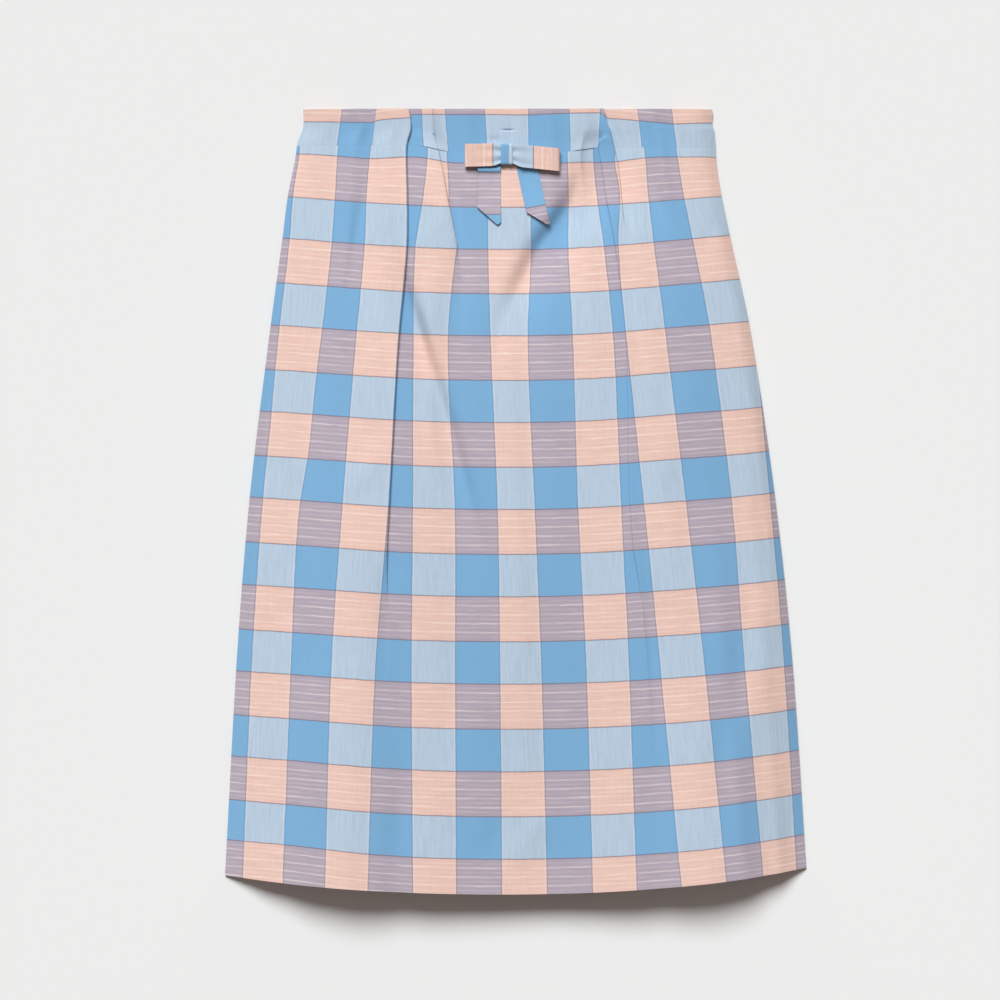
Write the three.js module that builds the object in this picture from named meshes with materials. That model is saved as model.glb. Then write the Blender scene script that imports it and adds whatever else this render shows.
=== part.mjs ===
import * as THREE from "three";

// A straight midi skirt of checked cotton lying on its back, front side up.
// Millimetres. +X is the viewer's right, +Y runs up to the waist, +Z is up from the table.
// The front is one drape: u is measured across the cloth from a stripe line near the
// middle, v is measured down the cloth from the waist seam (the waistband has v below zero).

const clothWall = 1.0;
const bandWall = 1.4;
const hemWall = 1.6;
const bowWall = 1.0;
const seamGap = 0.4;
const sideClearance = 0.1;
const seamHeight = 334.2;
const bandHeight = 42;
const clothLength = 710.5;
const hemTurnUp = 20;
const darkStripe = 44.1;
const lightStripe = 42.1;
const plumbX = -7;

// Stripe lines of the warp across the cloth: line 7 is zero, dark follows every even line.
const firstLine = 1;
const lastLine = 14;
const zeroLine = 7;
const stripeLine = {};
stripeLine[zeroLine] = 0;
for (let k = zeroLine + 1; k <= lastLine; k += 1) {
  stripeLine[k] = stripeLine[k - 1] + (k % 2 === 0 ? lightStripe : darkStripe);
}
for (let k = zeroLine - 1; k >= firstLine; k -= 1) {
  stripeLine[k] = stripeLine[k + 1] - (k % 2 === 0 ? darkStripe : lightStripe);
}

// Every table below has one number for each of these distances down the cloth.
const levels = [-42, -20, 0, 45, 95, 185, 345, 500, 712];

const outline = {
  zeroLineX: [-30.1, -28.2, -27.2, -26.3, -26.3, -23.8, -17.1, -14.8, -12.9],
  leftBeyondLine1: [0, 0.5, 2.2, 4.2, 6.6, 8.4, 12.4, 14.4, 17.2],
  rightBeyondLine14: [-0.5, -0.5, -2.5, -3, -3.4, -2, 5, 8.2, 9.6],
  leftRise: [0, 3.4, 6.7, 9.6, 10.5, 10.1, 11.5, 11.5, 16.8],
  rightRise: [0, 2.4, 4.8, 10.5, 14.4, 14.8, 16.8, 17.7, 24],
  crown: [11, 11.5, 12, 15, 19, 25, 31, 35, 38],
  leftShoulder: [45, 48, 50, 60, 70, 80, 95, 105, 110],
  rightShoulder: [40, 43, 45, 50, 55, 60, 70, 80, 90],
};

// Cloth taken up by soft gathers between two stripe lines.
const gathers = [
  { name: "light 1", from: 1, to: 2, take: [4.6, 4.8, 6.8, 2.2, 1.6, 1.4, 7, 4.5, 3.6] },
  { name: "dark 1", from: 2, to: 3, take: [13.5, 13.7, 12.5, 13.4, 12, 10, 2.3, 5, 3] },
  { name: "light 2", from: 3, to: 4, take: [10, 10.5, 9, 3.8, 2.2, 2, -1.8, 0, 1.5] },
  { name: "dark 2", from: 4, to: 5, take: [0, 0, 0, 0, 0, 0, 4, 7, 0.4] },
  { name: "light 3", from: 5, to: 6, take: [16, 14, 1, 0, 3, 9, 2, 0.4, 1] },
  { name: "dark 3", from: 6, to: 7, take: [4.8, 4.8, 5, 6, 2, 1, 2, 1, 0] },
  { name: "light 4", from: 7, to: 8, take: [1, 2, 3, 2, 1.3, 6.7, 6.7, 2.6, -1] },
  { name: "dark 4", from: 8, to: 9, take: [4, 4.6, 6, 7, 8, 0.8, 2.5, 0.8, 0] },
  { name: "light 5", from: 9, to: 10, take: [12.4, 13.7, 18, 15, 8, 3.2, 0.5, 0.8, 0] },
  { name: "dark 5", from: 10, to: 11, take: [0, 0, 0, 0, 0, 0, 4, 10, 1] },
  { name: "light 6", from: 11, to: 12, take: [0, 0, 0, 0, 3, 3.5, 2, 0.7, 0] },
  { name: "dark 6", from: 12, to: 13, take: [11.5, 11.1, 13.5, 10.6, 7.2, 2.8, 1, 6.2, 8.4] },
  { name: "light 7", from: 13, to: 14, take: [1, 3.4, 3, 3.3, 2.5, 1, 5.7, 4.5, 9.9] },
];

// Folds where the cloth doubles back under itself: where each starts on the cloth, and its take.
const lapFolds = [
  {
    name: "long left fold",
    start: [-130.3, -130.3, -130.3, -130.3, -130.3, -130.3, -130.3, -130.3, -130.3],
    take: [33, 33, 23, 28, 35, 29, 16, 2, 0],
  },
  {
    name: "left of bow",
    start: [-77, -77, -77, -64, -46, -45, -45, -45, -45],
    take: [3, 5, 23, 18, 11.5, 2, 1, 0, 0],
  },
  {
    name: "long right fold",
    start: [121, 122, 139.9, 138.9, 137.9, 136.9, 137.9, 139.9, 141.9],
    take: [0.5, 0.5, 21, 22, 30, 31, 17.5, 3.4, 0],
  },
  {
    name: "right tuck",
    start: [135, 143, 173.4, 173.4, 173.4, 173.4, 173.4, 173.4, 173.4],
    take: [51, 48, 16, 15, 5, 0.6, 0, 0, 0],
  },
];
const foldRadius = 1.2;
const foldRun = 0.6;
const foldFade = 30;

// Soft troughs pressed into the front: x down the cloth, depth down the cloth, half width.
const creases = [
  {
    name: "left drag",
    x: [-134, -134, -134.5, -143.5, -155, -171.3, -190.5, -199, -205],
    depth: [3, 3, 2.5, 3, 2.5, 1.5, 0.3, 0, 0],
    width: 9,
  },
  {
    name: "beside bow",
    x: [-66, -66, -65, -56.5, -50.8, -63.2, -55.6, -52.7, -50.8],
    depth: [1, 1, 1.5, 3, 4, 3, 1.5, 0.5, 0],
    width: 11,
  },
  {
    name: "left slack",
    x: [-86, -86, -86, -87.2, -90, -87.2, -75.7, -72, -72],
    depth: [0, 0, 0, 0.5, 1.5, 2, 0.5, 0, 0],
    width: 9,
  },
  {
    name: "diagonal drag",
    x: [73.8, 71.9, 70, 47.9, 17.2, -12.5, -22, -28.7, -33.5],
    depth: [1, 1.5, 2.5, 4, 4, 1.5, 0, 0, 0],
    width: 12,
  },
  {
    name: "under right tuck",
    x: [87.2, 93.9, 97.7, 101.5, 104.4, 110.2, 114, 118, 120],
    depth: [1, 1, 1.5, 2, 1.5, 0.5, 0, 0, 0],
    width: 10,
  },
  {
    name: "right drag",
    x: [120.7, 120.7, 120.7, 134.1, 153.3, 167.7, 177, 182, 187],
    depth: [2.5, 2.5, 2, 2.2, 1.2, 0.4, 0, 0, 0],
    width: 9,
  },
  {
    name: "left fold dying out",
    x: [-124, -124, -124, -124, -122, -122, -121.7, -117.8, -115],
    depth: [0, 0, 0, 0, 0, 0, 1.5, 1.6, 0.8],
    width: 14,
  },
  {
    name: "right fold dying out",
    x: [103, 103, 103, 103, 105, 108, 119.8, 129.3, 136],
    depth: [0, 0, 0, 0, 0, 0, 1.2, 1.2, 0.6],
    width: 12,
  },
];
const seamDip = { from: 0.24, to: 0.46, fade: 45 };
const gatherHeight = 0.12;
const slackWave = { height: 0.8, length: 138, lean: 260 };

// Rows down the cloth and columns across it.
const bandRows = [-bandHeight, -32, -21, -10, -seamGap];
const panelRows = [
  0, 14, 28, 45, 62, 80, 100, 122, 146, 172, 200, 232, 268,
  306, 346, 390, 436, 484, 534, 586, 640, 687, 690.5, clothLength,
];
const foldColumns = 3;
const columnsBetween = [13, 5, 14, 3, 12];

// The back lies flat; its fullness is drawn up in soft gathers under the waistband.
const backRows = [0, 16, 34, 54, 78, 108, 145, 195, 260, 345, 430, 520, 610, 687, 690.5, clothLength];
const backBandRows = [-bandHeight, -21, -seamGap];
const backColumns = 54;
const backGathers = {
  count: 11,
  margin: 46,
  height: [1.2, 1.4, 2.2, 2.2, 1.6, 0.7, 0, 0, 0],
  unevenness: 0.35,
};

function slopes(values) {
  return values.map((value, i) => {
    const before = Math.max(i - 1, 0);
    const after = Math.min(i + 1, values.length - 1);
    return (values[after] - values[before]) / (levels[after] - levels[before]);
  });
}

// A smooth curve through a table, read at a distance v down the cloth.
function along(values, v) {
  const at = Math.min(Math.max(v, levels[0]), levels[levels.length - 1]);
  let i = 0;
  while (i < levels.length - 2 && at > levels[i + 1]) {
    i += 1;
  }
  const h = levels[i + 1] - levels[i];
  const t = (at - levels[i]) / h;
  const m = slopes(values);
  const rise = t * t * (3 - 2 * t);
  const leave = t * (1 - t) * (1 - t) * h * m[i];
  const arrive = t * t * (t - 1) * h * m[i + 1];
  return values[i] * (1 - rise) + values[i + 1] * rise + leave + arrive;
}

// A fold is an arc back, a run under the cloth and an arc forward; a small one is a ripple.
function foldShape(take) {
  const arc = Math.PI * foldRadius;
  let bend = Math.PI;
  let run = foldRun;
  if (take >= 2 * arc + 2 * foldRun) {
    run = take / 2 - arc;
  } else {
    let low = 0.001;
    let high = Math.PI;
    for (let step = 0; step < 40; step += 1) {
      bend = (low + high) / 2;
      const used = 2 * arc * (1 - Math.sin(bend) / bend) + foldRun * (1 - Math.cos(bend));
      if (used < take) {
        low = bend;
      } else {
        high = bend;
      }
    }
  }
  const radius = arc / bend;
  return {
    bend,
    run,
    radius,
    arc,
    length: 2 * arc + run,
    advance: 2 * radius * Math.sin(bend) + run * Math.cos(bend),
    drop: 2 * radius * (1 - Math.cos(bend)) + run * Math.sin(bend),
  };
}

function gatherTake(row, u) {
  let sum = 0;
  for (const gather of row.gathers) {
    const t = Math.min(Math.max((u - gather.from) / (gather.to - gather.from), 0), 1);
    sum += gather.take * (t - Math.sin(2 * Math.PI * t) / (2 * Math.PI));
  }
  return sum;
}

function gatherRelief(row, u) {
  let z = 0;
  for (const gather of row.gathers) {
    const t = (u - gather.from) / (gather.to - gather.from);
    if (t > 0 && t < 1 && gather.take > 0) {
      const height = gatherHeight * Math.sqrt(gather.take * (gather.to - gather.from));
      z += height * Math.sin(Math.PI * t) ** 2;
    }
  }
  return z;
}

// How far each fold has pulled the cloth back at u, and how high it leaves it.
function foldEffect(row, u) {
  let take = 0;
  let z = 0;
  for (const fold of row.folds) {
    const s = u - fold.start;
    if (s <= 0) {
      z += fold.drop * Math.exp(s / foldFade);
    } else if (s >= fold.length) {
      take += fold.length - fold.advance;
    } else {
      let dx = fold.radius * Math.sin(s / fold.radius);
      let dz = fold.radius * (Math.cos(s / fold.radius) - 1);
      if (s >= fold.arc && s < fold.arc + fold.run) {
        const q = s - fold.arc;
        dx = fold.radius * Math.sin(fold.bend) + q * Math.cos(fold.bend);
        dz = fold.radius * (Math.cos(fold.bend) - 1) - q * Math.sin(fold.bend);
      } else if (s >= fold.arc + fold.run) {
        const q = (fold.length - s) / fold.radius;
        dx = fold.advance - fold.radius * Math.sin(q);
        dz = fold.radius * (1 - Math.cos(q)) - fold.drop;
      }
      take += s - dx;
      z += fold.drop + dz;
    }
  }
  return { take, z };
}

function acrossX(row, u) {
  const moved = gatherTake(row, u) - row.gatherBase + foldEffect(row, u).take - row.foldBase;
  return row.zeroX + u - moved;
}

// Everything one level of the front needs, worked out once.
function frontRow(v) {
  const row = { v };
  for (const key of Object.keys(outline)) {
    row[key] = along(outline[key], v);
  }
  row.gathers = gathers.map((gather) => ({
    from: stripeLine[gather.from],
    to: stripeLine[gather.to],
    take: along(gather.take, v),
  }));
  row.folds = lapFolds.map((fold) => ({
    start: along(fold.start, v),
    ...foldShape(Math.max(along(fold.take, v), 0)),
  }));
  row.creases = creases.map((crease) => ({
    x: along(crease.x, v),
    depth: Math.max(along(crease.depth, v), 0),
    width: crease.width,
  }));
  row.zeroX = row.zeroLineX;
  row.gatherBase = gatherTake(row, 0);
  row.foldBase = foldEffect(row, 0).take;
  row.leftU = stripeLine[firstLine] - row.leftBeyondLine1;
  row.rightU = stripeLine[lastLine] + row.rightBeyondLine14;
  row.leftX = acrossX(row, row.leftU);
  row.rightX = acrossX(row, row.rightU);
  return row;
}

function shoulder(distance, width) {
  return Math.sin((Math.min(Math.max(distance / width, 0), 1) * Math.PI) / 2);
}

// The wall is doubled in the waistband and in the hem's turn-up.
function wallAt(v) {
  if (v < 0) {
    return bandWall;
  }
  return v > clothLength - hemTurnUp - 1 ? hemWall : clothWall;
}

// The middle of the front's side edges lies just clear of the back under them.
function sideHeight(v) {
  return 1.5 * wallAt(v) + seamGap + sideClearance;
}

// Rows of the check bow down in the middle; the waist seam dips there between two flat ends.
function rowRise(row, x) {
  const right = x > plumbX;
  const half = right ? row.rightX - plumbX : plumbX - row.leftX;
  const q = Math.min(Math.abs(x - plumbX) / half, 1);
  const dip = THREE.MathUtils.smoothstep(q, seamDip.from, seamDip.to);
  const share = 1 - Math.min(Math.max(row.v / seamDip.fade, 0), 1);
  return (right ? row.rightRise : row.leftRise) * (dip * share + q * q * (1 - share));
}

function frontPoint(row, u) {
  const x = acrossX(row, u);
  const y = seamHeight - row.v + rowRise(row, x);
  const fromSide = Math.min(x - row.leftX, row.rightX - x);
  const settle = shoulder(fromSide, foldFade);
  let relief = foldEffect(row, u).z + gatherRelief(row, u);
  for (const crease of row.creases) {
    relief -= crease.depth * Math.exp(-(((x - crease.x) / crease.width) ** 2));
  }
  const wavePhase = (2 * Math.PI * x) / slackWave.length + row.v / slackWave.lean;
  relief += slackWave.height * Math.sin(wavePhase);
  const arch =
    row.crown *
    shoulder(x - row.leftX, row.leftShoulder) *
    shoulder(row.rightX - x, row.rightShoulder);
  return new THREE.Vector3(x, y, sideHeight(row.v) + arch + relief * settle);
}

// Columns gather round each fold so that its arcs stay round.
function frontColumns(row) {
  const stops = [row.leftU];
  let from = row.leftU;
  const addTo = (to, count) => {
    for (let i = 1; i <= count; i += 1) {
      stops.push(from + ((to - from) * i) / count);
    }
    from = to;
  };
  row.folds.forEach((fold, i) => {
    addTo(fold.start, columnsBetween[i]);
    addTo(fold.start + fold.arc, foldColumns);
    addTo(fold.start + fold.arc + fold.run, 1);
    addTo(fold.start + fold.length, foldColumns);
  });
  addTo(row.rightU, columnsBetween[columnsBetween.length - 1]);
  return stops;
}

function frontGrid(rows) {
  return rows.map((v) => {
    const row = frontRow(v);
    return frontColumns(row).map((u) => frontPoint(row, u));
  });
}

function backGrid(rows) {
  return rows.map((v) => {
    const row = frontRow(v);
    const height = along(backGathers.height, v);
    const points = [];
    for (let i = 0; i <= backColumns; i += 1) {
      const s = i / backColumns;
      const x = row.leftX + (row.rightX - row.leftX) * s;
      const y = seamHeight - v + row.leftRise + (row.rightRise - row.leftRise) * s;
      const inside = Math.min(x - row.leftX, row.rightX - x) - backGathers.margin;
      const fade = shoulder(inside, backGathers.margin);
      const turn = 2 * Math.PI * s * backGathers.count;
      const uneven = 1 + backGathers.unevenness * Math.sin(5 * s + 2 * Math.sin(9 * s));
      const z = height * uneven * fade * (0.5 - 0.5 * Math.cos(turn + Math.sin(7 * s)));
      points.push(new THREE.Vector3(x, y, wallAt(v) / 2 + z));
    }
    return points;
  });
}

// The direction through a grid point along one way of the grid, and how sharply it bends there.
function bisector(before, here, after) {
  const arrive = here.clone().sub(before ?? here);
  const leave = (after ?? here).clone().sub(here);
  if (before && after) {
    arrive.normalize();
    leave.normalize();
    const direction = arrive.clone().add(leave);
    const mitre = 2 / Math.max(direction.length(), 1.4);
    return { direction: direction.normalize(), mitre };
  }
  return { direction: arrive.add(leave).normalize(), mitre: 1 };
}

// A closed wall of cloth round a grid of points on its middle surface; the table is at zero.
function clothSolid(name, grid, color, wallOf) {
  const rowCount = grid.length;
  const columnCount = grid[0].length;
  const outer = [];
  const inner = [];
  grid.forEach((points, r) => {
    points.forEach((point, c) => {
      const across = bisector(points[c - 1], point, points[c + 1]);
      const down = bisector(grid[r - 1]?.[c], point, grid[r + 1]?.[c]);
      const normal = down.direction.clone().cross(across.direction).normalize();
      const reach = (wallOf(r) / 2) * across.mitre;
      outer.push(point.clone().addScaledVector(normal, reach));
      const underside = point.clone().addScaledVector(normal, -reach);
      underside.z = Math.max(underside.z, 0);
      inner.push(underside);
    });
  });
  const vertices = [...outer, ...inner];
  const innerStart = outer.length;
  const index = [];
  const quad = (a, b, c, d) => index.push(a, b, c, a, c, d);
  for (let r = 0; r < rowCount - 1; r += 1) {
    for (let c = 0; c < columnCount - 1; c += 1) {
      const a = r * columnCount + c;
      const below = a + columnCount;
      quad(a, below, below + 1, a + 1);
      quad(innerStart + a, innerStart + a + 1, innerStart + below + 1, innerStart + below);
    }
  }
  const rim = (a, b) => quad(b, a, innerStart + a, innerStart + b);
  const last = (rowCount - 1) * columnCount;
  for (let c = 0; c < columnCount - 1; c += 1) {
    rim(c + 1, c);
    rim(last + c, last + c + 1);
  }
  for (let r = 0; r < rowCount - 1; r += 1) {
    rim(r * columnCount, (r + 1) * columnCount);
    rim((r + 2) * columnCount - 1, (r + 1) * columnCount - 1);
  }
  return meshOf(name, vertices, index, color);
}

function meshOf(name, vertices, index, color) {
  const geometry = new THREE.BufferGeometry();
  const positions = vertices.flatMap((vertex) => [vertex.x, vertex.y, vertex.z]);
  geometry.setAttribute("position", new THREE.Float32BufferAttribute(positions, 3));
  geometry.setIndex(index);
  geometry.computeVertexNormals();
  const material = new THREE.MeshStandardMaterial({ color, roughness: 0.9, metalness: 0 });
  const mesh = new THREE.Mesh(geometry, material);
  mesh.name = name;
  return mesh;
}

// The top face of the front at a place in plan, for what is laid on it.
function frontTop(x, y) {
  let v = seamHeight - y;
  let point = null;
  for (let step = 0; step < 4; step += 1) {
    const row = frontRow(v);
    let low = row.folds[1].start + row.folds[1].length;
    let high = row.folds[2].start;
    for (let halving = 0; halving < 24; halving += 1) {
      const middle = (low + high) / 2;
      if (acrossX(row, middle) < x) {
        low = middle;
      } else {
        high = middle;
      }
    }
    point = frontPoint(row, low);
    v += point.y - y;
  }
  return point.z + bandWall / 2;
}

// The highest the front reaches under a rectangle in plan.
function frontTopUnder(fromX, toX, fromY, toY) {
  const steps = 3;
  let highest = 0;
  for (let i = 0; i <= steps; i += 1) {
    for (let j = 0; j <= steps; j += 1) {
      const x = fromX + ((toX - fromX) * i) / steps;
      const y = fromY + ((toY - fromY) * j) / steps;
      highest = Math.max(highest, frontTop(x, y));
    }
  }
  return highest;
}

// The flat bow: heights are above the front's top face.
const bow = {
  knotX: -8.7,
  knotHalf: 5.6,
  top: 343,
  bottom: 321.2,
  outerLeft: -48.9,
  outerRight: 42.2,
  rightTilt: -4,
  pinch: 2.2,
  opening: 9,
  tailLift: 0.9,
  lowerLayer: 2.6,
  upperLayer: 6.4,
  upperAtKnot: 4.9,
  loopRows: 10,
  endRows: 5,
  columns: 4,
};

const knotReach = (bow.top - bow.bottom) / 2 - bow.pinch + 0.5 + bowWall / 2;
const knotMiddleY = (bow.top + bow.bottom) / 2;
const knotBase = frontTopUnder(
  bow.knotX - bow.knotHalf,
  bow.knotX + bow.knotHalf,
  knotMiddleY - knotReach,
  knotMiddleY + knotReach,
);

// A loop leaves the knot on top, turns at its outer end and comes back underneath.
function loopGrid(outerX, tilt) {
  const side = Math.sign(outerX - bow.knotX);
  const innerX = bow.knotX + side * 0.4;
  const endRadius = (bow.upperLayer - bow.lowerLayer) / 2;
  const turnX = outerX - side * (endRadius + bowWall / 2);
  const path = [];
  const opened = (x) => shoulder(Math.abs(x - bow.knotX) - bow.knotHalf - 0.6, bow.opening);
  for (let i = 0; i <= bow.loopRows; i += 1) {
    const t = i / bow.loopRows;
    const x = innerX + (turnX - innerX) * t;
    const z = bow.upperAtKnot + (bow.upperLayer - bow.upperAtKnot) * opened(x);
    path.push({ t, x, z });
  }
  for (let i = 1; i < bow.endRows; i += 1) {
    const angle = (Math.PI * i) / bow.endRows;
    const z = bow.lowerLayer + endRadius * (1 + Math.cos(angle));
    path.push({ t: 1, x: turnX + side * endRadius * Math.sin(angle), z });
  }
  for (let i = bow.loopRows; i >= 0; i -= 1) {
    const t = i / bow.loopRows;
    path.push({ t, x: innerX + (turnX - innerX) * t, z: bow.lowerLayer });
  }
  return path.map(({ t, x, z }) => {
    const pinch = bow.pinch * (1 - opened(x));
    const droop = tilt * t * opened(x);
    const top = bow.top - pinch + droop;
    const bottom = bow.bottom + pinch + droop;
    const local = frontTopUnder(x, x, bottom, top);
    const base = knotBase + (local - knotBase) * opened(x);
    const points = [];
    for (let c = 0; c <= bow.columns; c += 1) {
      const s = c / bow.columns;
      const y = side > 0 ? top + (bottom - top) * (1 - s) : top + (bottom - top) * s;
      points.push(new THREE.Vector3(x, y, base + z));
    }
    return points;
  });
}

// The knot is a short strip wrapped once round both loops.
function knotSolid(color) {
  const half = knotReach;
  const middleY = knotMiddleY;
  const low = knotBase + 0.95;
  const high = knotBase + bow.upperAtKnot + 1.7;
  const corner = 1.6;
  const arcSteps = 3;
  const ring = [];
  const corners = [
    { y: half - corner, z: high - corner, from: 0 },
    { y: -half + corner, z: high - corner, from: 1 },
    { y: -half + corner, z: low + corner, from: 2 },
    { y: half - corner, z: low + corner, from: 3 },
  ];
  for (const { y, z, from } of corners) {
    for (let i = 0; i <= arcSteps; i += 1) {
      const angle = ((from + i / arcSteps) * Math.PI) / 2;
      ring.push({ y: middleY + y, z, outY: Math.cos(angle), outZ: Math.sin(angle) });
    }
  }
  const vertices = [];
  const loop = (x, reach) => {
    for (const stop of ring) {
      vertices.push(new THREE.Vector3(x, stop.y + stop.outY * reach, stop.z + stop.outZ * reach));
    }
  };
  loop(bow.knotX - bow.knotHalf, corner + bowWall / 2);
  loop(bow.knotX + bow.knotHalf, corner + bowWall / 2);
  loop(bow.knotX + bow.knotHalf, corner - bowWall / 2);
  loop(bow.knotX - bow.knotHalf, corner - bowWall / 2);
  const index = [];
  const n = ring.length;
  for (let side = 0; side < 4; side += 1) {
    const a = side * n;
    const b = ((side + 1) % 4) * n;
    for (let i = 0; i < n; i += 1) {
      const j = (i + 1) % n;
      index.push(a + i, b + j, b + i, a + i, a + j, b + j);
    }
  }
  return meshOf("bow_knot", vertices, index, color);
}

// A tail is a flat strip between two straight edges, cut off at a slant.
const tails = {
  bow_tail_left: {
    topLeft: [-34.8, 329],
    topRight: [-15.6, 329],
    endLeft: [-35, 281.2],
    endRight: [-15.2, 266],
    curl: 1.6,
  },
  bow_tail_right: {
    topLeft: [0.6, 329],
    topRight: [21.6, 329],
    endLeft: [10, 277],
    endRight: [32.4, 265.4],
    curl: 2.2,
  },
};
const tailRows = 9;
const tailColumns = 4;

function tailGrid({ topLeft, topRight, endLeft, endRight, curl }) {
  const grid = [];
  for (let r = 0; r <= tailRows; r += 1) {
    const t = r / tailRows;
    const points = [];
    for (let c = 0; c <= tailColumns; c += 1) {
      const s = c / tailColumns;
      const mix = (k) =>
        (topLeft[k] * (1 - s) + topRight[k] * s) * (1 - t) +
        (endLeft[k] * (1 - s) + endRight[k] * s) * t;
      const x = mix(0);
      const y = mix(1);
      const lift = bow.tailLift + curl * shoulder(t - 0.35, 0.65) ** 2;
      points.push(new THREE.Vector3(x, y, frontTop(x, y) + lift));
    }
    grid.push(points);
  }
  return grid;
}

const skirt = new THREE.Group();
skirt.name = "midi_skirt";
const colors = { panel: 0xb4c9dd, band: 0x8fb6d8, peach: 0xf0cabc, mauve: 0xb0a3b8, blue: 0x7cb0d8 };

skirt.add(
  clothSolid("front_panel", frontGrid(panelRows), colors.panel, (r) => wallAt(panelRows[r])),
  clothSolid("waistband_front", frontGrid(bandRows), colors.band, () => bandWall),
  clothSolid("back_panel", backGrid(backRows), colors.panel, (r) => wallAt(backRows[r])),
  clothSolid("waistband_back", backGrid(backBandRows), colors.band, () => bandWall),
  clothSolid("bow_loop_left", loopGrid(bow.outerLeft, 0), colors.peach, () => bowWall),
  clothSolid("bow_loop_right", loopGrid(bow.outerRight, bow.rightTilt), colors.peach, () => bowWall),
  knotSolid(colors.blue),
);
for (const [name, tail] of Object.entries(tails)) {
  skirt.add(clothSolid(name, tailGrid(tail), colors.mauve, () => bowWall));
}

export default skirt;
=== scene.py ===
import math

import bmesh
import bpy
import numpy as np
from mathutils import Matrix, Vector


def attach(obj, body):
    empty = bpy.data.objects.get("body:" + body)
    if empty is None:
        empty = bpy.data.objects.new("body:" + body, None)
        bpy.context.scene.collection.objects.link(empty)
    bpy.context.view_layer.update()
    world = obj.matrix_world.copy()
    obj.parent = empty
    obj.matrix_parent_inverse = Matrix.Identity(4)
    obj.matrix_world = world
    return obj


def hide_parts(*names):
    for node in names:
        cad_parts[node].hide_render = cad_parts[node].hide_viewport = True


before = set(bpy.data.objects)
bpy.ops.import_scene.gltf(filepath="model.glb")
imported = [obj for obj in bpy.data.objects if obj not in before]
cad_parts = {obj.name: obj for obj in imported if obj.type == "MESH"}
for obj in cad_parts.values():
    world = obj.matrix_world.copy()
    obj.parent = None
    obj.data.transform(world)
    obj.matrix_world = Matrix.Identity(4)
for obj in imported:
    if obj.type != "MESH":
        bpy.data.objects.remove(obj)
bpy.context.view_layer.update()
print("frame loaded")

mm = 0.001

# A midi skirt of yarn-dyed checked cotton lying on its back, front side up.
# The tables are in millimetres: u runs across the cloth from a stripe line near the
# middle, v runs down it from the waist seam, and the waistband has v below zero.
skirt = {
    "seamHeight": 334.2,   # the waist seam, up from the middle of the skirt's length
    "bandHeight": 42.0,
    "length": 710.5,       # waist seam to hem
    "seamGap": 0.4,
    "darkStripe": 44.1,
    "lightStripe": 42.1,
    "plumbX": -7.0,        # where the rows of the check hang lowest
    "sideHeight": 2.0,     # the front's side edges, on top of the back's
    "bandSideHeight": 2.6,
    "edgeRoll": 13.0,      # how far in from the side the cloth has rolled up off the back
    "clothWall": 0.55,
    "bandWall": 0.65,
    "firstRow": 10.5,      # the panel's first peach row starts this far below the seam
    "peachRow": 42.9,
    "blueRow": 40.5,
}

# Every table has one number for each of these distances down the cloth.
levels = np.array([-42, -20, 0, 45, 95, 185, 345, 500, 712], float)

outline = {
    "zeroLineX": [-30.1, -28.2, -27.2, -26.3, -26.3, -23.8, -17.1, -14.8, -12.9],
    "leftBeyond": [0, 0.5, 2.2, 4.2, 6.6, 8.4, 12.4, 14.4, 17.2],
    "rightBeyond": [-0.5, -0.5, -2.5, -3, -3.4, -2, 5, 8.2, 9.6],
    "leftRise": [0, 3.4, 6.7, 9.6, 10.5, 10.1, 11.5, 11.5, 16.8],
    "rightRise": [0, 2.4, 4.8, 10.5, 14.4, 14.8, 16.8, 17.7, 24],
    "crown": [11, 11.5, 12.5, 18, 24.5, 32.5, 37.5, 37.5, 36],
    "leftShoulder": [90, 90, 90, 110, 130, 150, 150, 125, 120],
    "rightShoulder": [90, 90, 90, 110, 130, 150, 140, 115, 105],
    # how much of the lift comes at the very edge
    "edgeShare": [0.4, 0.4, 0.36, 0.32, 0.3, 0.28, 0.22, 0.1, 0],
}

# Cloth taken up softly between two stripe lines: first line, last line, take at each level.
gathers = [
    (1, 2, [4.6, 4.8, 6.8, 2.2, 1.6, 1.4, 7, 4.5, 3.6]),
    (2, 3, [13.5, 13.7, 12.5, 13.4, 12, 10, 2.3, 5, 3]),
    (3, 4, [10, 10.5, 9, 3.8, 2.2, 2, -1.8, 0, 1.5]),
    (4, 5, [0, 0, 0, 0, 0, 0, 4, 7, 0.4]),
    (5, 6, [16, 14, 1, 0, 3, 9, 2, 0.4, 1]),
    (6, 7, [4.8, 4.8, 5, 6, 2, 1, 2, 1, 0]),
    (7, 8, [1, 2, 3, 2, 1.3, 6.7, 6.7, 2.6, -1]),
    (8, 9, [4, 4.6, 6, 7, 8, 0.8, 2.5, 0.8, 0]),
    (9, 10, [12.4, 13.7, 18, 15, 8, 3.2, 0.5, 0.8, 0]),
    (10, 11, [0, 0, 0, 0, 0, 0, 4, 10, 1]),
    (11, 12, [0, 0, 0, 0, 3, 3.5, 2, 0.7, 0]),
    (12, 13, [11.5, 11.1, 13.5, 10.6, 7.2, 2.8, 1, 6.2, 8.4]),
    (13, 14, [1, 3.4, 3, 3.3, 2.5, 1, 5.7, 4.5, 9.9]),
]

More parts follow.
